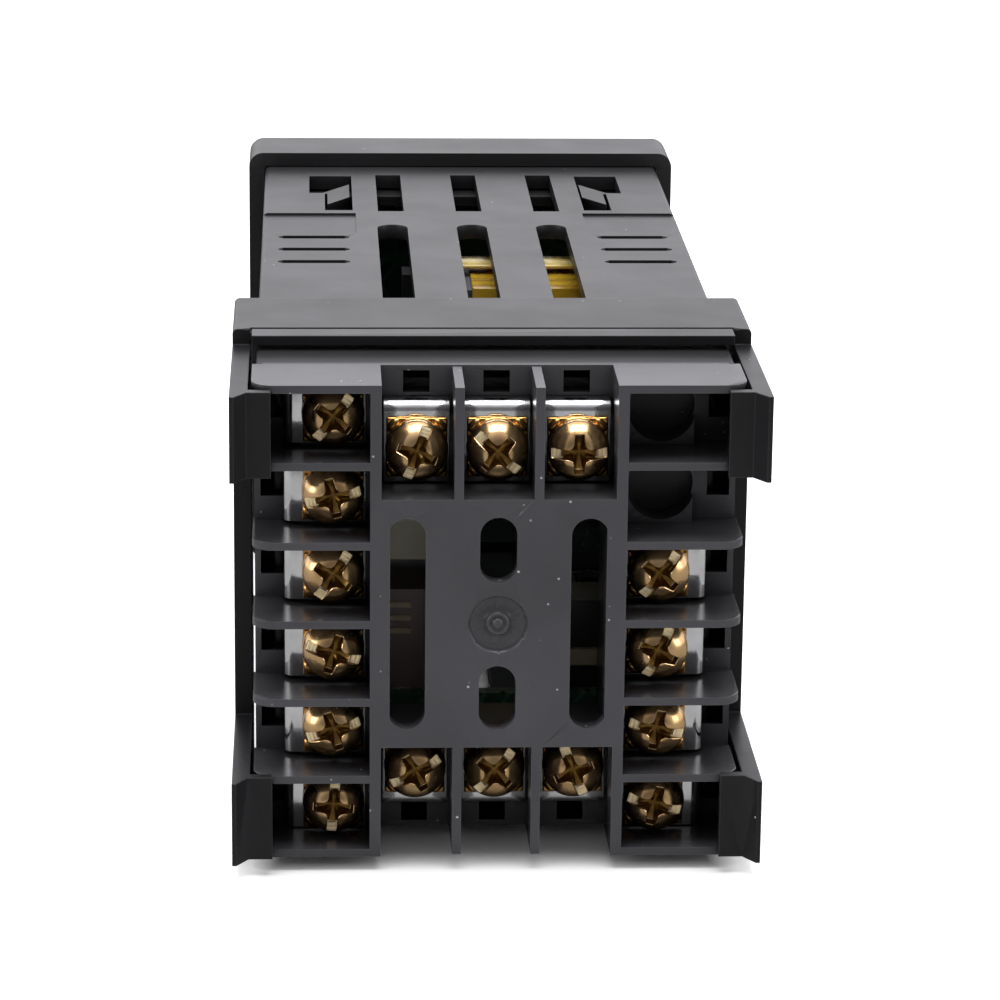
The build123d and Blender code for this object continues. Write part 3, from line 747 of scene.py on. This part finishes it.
def dress_key(key, key_x):
    """Key cap with a finger dish and an inlaid sign."""
    top = FRONT_DEPTH + KEY_PROUD

    def dish(shape):
        add_rings(shape, [round_ring(reach, sink, 48) for reach, sink in DISH_PROFILE])

    dish_cutter = new_piece("dish_cutter", part_mesh(dish))
    dish_cutter.data.transform(Matrix.Translation(spot(key_x, top, KEY_Z)))
    rounded_node(key, 0.16, key_plastic, cuts=[dish_cutter])
    points = [(-x, z) for x, z in key_outline(key)]

    def sign(shape):
        add_rings(shape, [[(x, y, z) for x, z in points] for y in (0.14, 0.6)])

    mark = new_piece(key + "_sign", part_mesh(sign), key_mark)
    mark.data.transform(Matrix.Translation(spot(key_x, top, KEY_Z)))
    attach(mark, key)


def segment_places(digit_xs, middle_z, height):
    """Middle and turn of the seven bars of every digit, split into upright and level bars."""
    half = height / 2
    width = height * 0.52
    upright, level = [], []
    for digit_x in digit_xs:
        for side in (-1, 1):
            for z in (-half / 2, half / 2):
                upright.append((digit_x + side * width / 2 - DIGIT_LEAN * z, middle_z + z))
        for z in (-half, 0, half):
            level.append((digit_x - DIGIT_LEAN * z, middle_z + z))
    return upright, level


def segment_part(length, thick):
    """One bar of a digit, pointed at both ends."""

    def bar(shape):
        half, side = length / 2, thick / 2
        outline = [(half, 0), (half - side, side), (side - half, side)]
        outline += [(-x, -z) for x, z in outline]
        add_rings(shape, [[(x, y, z) for x, z in outline] for y in (-0.06, 0.03)])

    return new_piece("segment_part", part_mesh(bar))


def dress_display(name, pitch, middle_z, height, material):
    """Four unlit seven-bar digits on the face of a display."""
    digit_xs = [DIGITS_MIDDLE - 1.5 * pitch + pitch * i for i in range(4)]
    upright, level = segment_places(digit_xs, middle_z, height)
    angles = [UPRIGHT_TURN] * len(upright) + [0] * len(level)
    points = marked_points(name, [spot(x, DIGIT_FACE, z) for x, z in upright + level], angles)
    digits = repeated(points, segment_part(height * 0.44, height * 0.11), [material], Seed=2)
    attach(digits, "controller")


for key, key_x in KEY_XS.items():
    dress_key(key, key_x)
dress_display("value_digits", 7.2, 11.3, 8.6, segment_red)
dress_display("setting_digits", 5.6, 0.5, 5.6, segment_green)

# Inner parts that keep their own shape

FINISH_OF = {
    "display_window": pane_smoked,
    "value_display": display_face,
    "setting_display": display_face,
    "indicator_lamps": lamp_epoxy,
    "tact_switches": tinned_metal,
    "display_board": board_green,
    "base_board": board_green,
    "control_board": board_green,
    "power_board": board_green,
    "control_header": header_plastic,
    "power_header": header_plastic,
    "transformer_core": ferrite,
    "transformer_winding": tape_yellow,
    "transformer_bobbin": bobbin_plastic,
    "mains_capacitor": sleeve_black,
    "filter_capacitor": sleeve_black,
    "film_capacitor": film_plastic,
    "output_relay": relay_plastic,
    "alarm_relay": relay_brown,
    "microcontroller": chip_plastic,
    "memory_chip": chip_plastic,
    "driver_chip": chip_plastic,
}
for node, material in FINISH_OF.items():
    for material_slot in frame["nodes"][node].material_slots:
        material_slot.material = material

# Boards, transformer and relays

CONTROL_X, POWER_X = 4.7, -17.4
BOARD_HALF = 0.8
CORE_FACE, CORE_RISE = -15.6, 17.0
CORE_LOW, CORE_HEIGHT = -3.0, 20.4
CORE_START, CORE_LENGTH = 60.0, 11.0


def box_part(size):
    """Small box with softened edges."""

    def box(shape):
        add_box(shape, [-side / 2 for side in size], [side / 2 for side in size])

    part = new_piece("box_part", part_mesh(box))
    soften(part, 0.06, 1)
    return part


def solder_part():
    """Cone of solder round a cut lead, its axis along +X."""

    def joint(shape):
        profile = ((0.85, -0.05), (0.8, 0.08), (0.45, 0.3), (0.3, 0.9), (0.12, 0.98))
        rings = [round_ring(radius, height, 12) for radius, height in profile]
        add_rings(shape, [[(height, y, z) for y, height, z in ring] for ring in rings])

    part = new_piece("solder_part", part_mesh(joint))
    smooth(part.data, 40)
    return part


def board_grid(board_x, face, depths, heights, skip=()):
    """Points on one face of a card in staggered rows."""
    x = board_x + face * BOARD_HALF
    points = []
    for column, depth in enumerate(depths):
        for row, height in enumerate(heights):
            if (column * 5 + row * 3) % 4 in skip:
                continue
            points.append(spot(x, depth + 0.9 * (row % 2), height + 0.7 * (column % 2)))
    return points


def dress_boards():
    """Chip resistors and solder joints on the two upright cards."""
    chips = board_grid(CONTROL_X, -1, range(48, 96, 5), range(-16, 17, 4), skip=(0,))
    points = marked_points("chip_resistors", chips, [0, 90] * (len(chips) // 2 + 1))
    resistors = repeated(points, box_part((0.7, 2.0, 1.2)), [chip_plastic], Seed=3)
    joints = board_grid(POWER_X, -1, range(24, 92, 6), range(-16, 17, 5), skip=(1,))
    joints += board_grid(CONTROL_X, -1, range(20, 36, 5), range(-14, 15, 4), skip=(2,))
    places = marked_points("solder_joints", joints, [180] * len(joints))
    solder = repeated(places, solder_part(), [tinned_metal], Seed=5)
    for piece, slot in ((resistors, "chip_epoxy"), (solder, "switch_metal")):
        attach(piece, "controller")


def tape_loop(name, low, high, thick, material, across):
    """Tape once round a block between two corners, given as side, depth and height."""

    def loop(shape):
        names = [i for i in range(3) if i != across]
        rings = []
        for level, drawn in ((low, thick), (low, 0.0), (high, 0.0), (high, thick)):
            ring = []
            for first, second in ((0, 0), (1, 0), (1, 1), (0, 1)):
                point = [0.0, 0.0, 0.0]
                point[across] = level[across]
                for axis, far in zip(names, (first, second)):
                    point[axis] = high[axis] - drawn if far else low[axis] + drawn
                ring.append(shape.verts.new((point[0], REAR_Y - point[1], AXIS_Z + point[2])))
            rings.append(ring)
        for ring, after in zip(rings, rings[1:] + rings[:1]):
            for i in range(4):
                j = (i + 1) % 4
                shape.faces.new((ring[i], ring[j], after[j], after[i]))

    tape = new_piece(name, part_mesh(loop), material)
    soften(tape, 0.35, 3)
    smooth(tape.data, 40)
    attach(tape, "controller")


def dress_transformer():
    """Amber tape laid along the core and over its ends, and a cream tape round its far part whose pale tone
    is partly painted light falling through the vents.
    """
    rise, height, end = CORE_FACE + CORE_RISE, CORE_LOW + CORE_HEIGHT, CORE_START + CORE_LENGTH
    amber_low = (CORE_FACE + 4.2, CORE_START - 0.3, CORE_LOW - 0.3)
    tape_loop("core_tape_long", amber_low, (rise - 1.2, end + 0.3, height + 0.3), 0.25, tape_yellow, 0)
    cream_low = (CORE_FACE + 2.4, CORE_START + 6.2, CORE_LOW - 0.9)
    tape_loop("core_tape_round", cream_low, (rise + 0.6, end - 0.3, height + 1.3), 0.5, tape_cream, 1)


def dress_relays():
    """Contact bars on the rear of the lower relay and a small ceramic part on the film capacitor."""
    bars = [spot(CONTROL_X + 4.6, 18.9, -4.0 - 1.3 * i) for i in range(3)]
    points = marked_points("contact_bars", bars, [0, 0, 0])
    contacts = repeated(points, box_part((3.6, 0.5, 0.55)), [ceramic_beige], Seed=6)

    def ceramic(shape):
        add_box(shape, (-1.6, -0.5, -0.85), (1.6, 0.5, 0.85))

    chip = new_piece("ceramic_part", part_mesh(ceramic), ceramic_beige)
    chip.data.transform(Matrix.Translation(spot(-9.4, 19.8, -9.6)))
    soften(chip, 0.2, 2)
    for piece, slot in ((contacts, "relay_case"), (chip, "film_case")):
        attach(piece, "controller")


dress_boards()
dress_transformer()
dress_relays()

# Floor, light and camera


FLOOR_REACH = 6.0
FLOOR_WHITE, FLOOR_IN_GLOSS = 0.86, 0.26
FLOOR_GLOW = 0.72
PAINTED_SHADOW_HALF = (0.025, 0.064)
SKY_IN_GLOSS, SKY_SPAN = (1.36, 0.16), (0.2, 0.9)
SKY_LIGHT = 0.45
SKY_TINT = (0.985, 0.975, 1.02)
LAMP_AIM = (0, 0, 0.03)

# Camera place in metres, its turns in radians and its lens in millimetres
CAMERA_PLACE = (0.01710, 0.40765, 0.13807)
CAMERA_DOWN, CAMERA_ASIDE, CAMERA_ROLL = 0.2806, 0.0484, 0.0114
LENS, SENSOR = 146.4, 36


def make_floor():
    """White paper that glows for the camera alone, apart from where the object stands on it, where the
    missing glow paints a shadow.
    """
    mesh = bpy.data.meshes.new("floor")
    far = FLOOR_REACH
    mesh.from_pydata([(-far, -far, 0), (far, -far, 0), (far, far, 0), (-far, far, 0)], [], [(0, 1, 2, 3)])
    material = bpy.data.materials.new("floor_paper")
    material.use_nodes = True
    tree = material.node_tree
    node, link = tree.nodes.new, tree.links.new
    shader = tree.nodes["Principled BSDF"]
    shader.inputs["Roughness"].default_value = 0.9
    path = node("ShaderNodeLightPath")
    mirrored = node("ShaderNodeMix")
    mirrored.data_type = "RGBA"
    mirrored.inputs[6].default_value = (FLOOR_WHITE, FLOOR_WHITE, FLOOR_WHITE, 1)
    mirrored.inputs[7].default_value = (FLOOR_IN_GLOSS, FLOOR_IN_GLOSS, FLOOR_IN_GLOSS, 1)
    link(path.outputs["Is Glossy Ray"], mirrored.inputs[0])
    link(mirrored.outputs[2], shader.inputs["Base Color"])
    # Painted shadow: the glow fades to nothing over the object's footprint.
    where = node("ShaderNodeTexCoord")
    shares = node("ShaderNodeVectorMath")
    shares.operation = "MULTIPLY"
    shares.inputs[1].default_value = (1 / PAINTED_SHADOW_HALF[0], 1 / PAINTED_SHADOW_HALF[1], 0)
    reach = node("ShaderNodeVectorMath")
    reach.operation = "ABSOLUTE"
    parts = node("ShaderNodeSeparateXYZ")
    furthest = node("ShaderNodeMath")
    furthest.operation = "MAXIMUM"
    shade = node("ShaderNodeMapRange")
    for socket, value in zip(RANGE_SOCKETS, (0.8, 1.0, 0.0, FLOOR_GLOW)):
        shade.inputs[socket].default_value = value
    link(where.outputs["Object"], shares.inputs[0])
    link(shares.outputs[0], reach.inputs[0])
    link(reach.outputs[0], parts.inputs[0])
    link(parts.outputs["X"], furthest.inputs[0])
    link(parts.outputs["Y"], furthest.inputs[1])
    link(furthest.outputs[0], shade.inputs["Value"])
    glow = node("ShaderNodeEmission")
    link(shade.outputs["Result"], glow.inputs["Strength"])
    lit = node("ShaderNodeAddShader")
    link(shader.outputs[0], lit.inputs[0])
    link(glow.outputs[0], lit.inputs[1])
    seen = node("ShaderNodeMixShader")
    link(path.outputs["Is Camera Ray"], seen.inputs[0])
    link(shader.outputs[0], seen.inputs[1])
    link(lit.outputs[0], seen.inputs[2])
    link(seen.outputs[0], tree.nodes["Material Output"].inputs["Surface"])
    new_piece("floor", mesh, material)


def make_world():
    """White for the camera; for glossy and clear rays bright past the display, dim behind the block."""
    world = bpy.data.worlds.new("studio")
    bpy.context.scene.world = world
    world.use_nodes = True
    tree = world.node_tree
    node, link = tree.nodes.new, tree.links.new
    background = tree.nodes["Background"]
    path = node("ShaderNodeLightPath")
    tint = node("ShaderNodeMix")
    tint.data_type = "RGBA"
    tint.inputs[6].default_value = (*SKY_TINT, 1)
    tint.inputs[7].default_value = (1, 1, 1, 1)
    link(path.outputs["Is Camera Ray"], tint.inputs[0])
    link(tint.outputs[2], background.inputs["Color"])
    where = node("ShaderNodeTexCoord")
    parts = node("ShaderNodeSeparateXYZ")
    link(where.outputs["Generated"], parts.inputs[0])
    dim = node("ShaderNodeMapRange")
    for socket, value in zip(RANGE_SOCKETS, (*SKY_SPAN, *SKY_IN_GLOSS)):
        dim.inputs[socket].default_value = value
    link(parts.outputs["Y"], dim.inputs["Value"])
    clear = node("ShaderNodeMath")
    clear.operation = "MAXIMUM"
    link(path.outputs["Is Glossy Ray"], clear.inputs[0])
    link(path.outputs["Is Transmission Ray"], clear.inputs[1])
    soft = node("ShaderNodeMix")
    soft.inputs[2].default_value = SKY_LIGHT
    link(clear.outputs[0], soft.inputs[0])
    link(dim.outputs["Result"], soft.inputs[3])
    final = node("ShaderNodeMix")
    link(path.outputs["Is Camera Ray"], final.inputs[0])
    link(soft.outputs[0], final.inputs[2])
    final.inputs[3].default_value = 1.0
    link(final.outputs[0], background.inputs["Strength"])


def softbox(name, place, size, power):
    """Flat lamp turned toward the middle of the object; place and size in metres, power in watts."""
    lamp = bpy.data.lights.new(name, "AREA")
    lamp.shape = "RECTANGLE"
    lamp.size, lamp.size_y = size
    lamp.energy = power
    holder = bpy.data.objects.new(name, lamp)
    holder.location = place
    holder.rotation_euler = (Vector(LAMP_AIM) - Vector(place)).to_track_quat("-Z", "Y").to_euler()
    bpy.context.scene.collection.objects.link(holder)


def make_camera():
    """Camera behind the terminals, a little above and to one side, with a long lens."""
    down, aside, roll = CAMERA_DOWN, CAMERA_ASIDE, CAMERA_ROLL
    forward = Vector((-math.cos(down) * math.sin(aside), -math.cos(down) * math.cos(aside), -math.sin(down)))
    level = Vector((-math.cos(aside), math.sin(aside), 0))
    upright = level.cross(forward)
    right = math.cos(roll) * level + math.sin(roll) * upright
    up = -math.sin(roll) * level + math.cos(roll) * upright
    camera = bpy.data.cameras.new("camera")
    camera.lens = LENS
    camera.sensor_width = SENSOR
    camera.clip_start = 0.01
    camera.clip_end = 50
    holder = bpy.data.objects.new("camera", camera)
    turn = Matrix((right, up, -forward)).transposed()
    holder.matrix_world = Matrix.Translation(CAMERA_PLACE) @ turn.to_4x4()
    bpy.context.scene.collection.objects.link(holder)
    bpy.context.scene.camera = holder


make_floor()
make_world()
softbox("overhead", (0.0, 0.10, 0.80), (0.6, 0.5), 6.6)
softbox("left_side", (0.65, 0.30, 0.30), (0.35, 0.5), 1.6)
softbox("right_side", (-0.65, 0.30, 0.30), (0.35, 0.5), 1.3)
make_camera()
bpy.context.scene.view_settings.view_transform = "Standard"
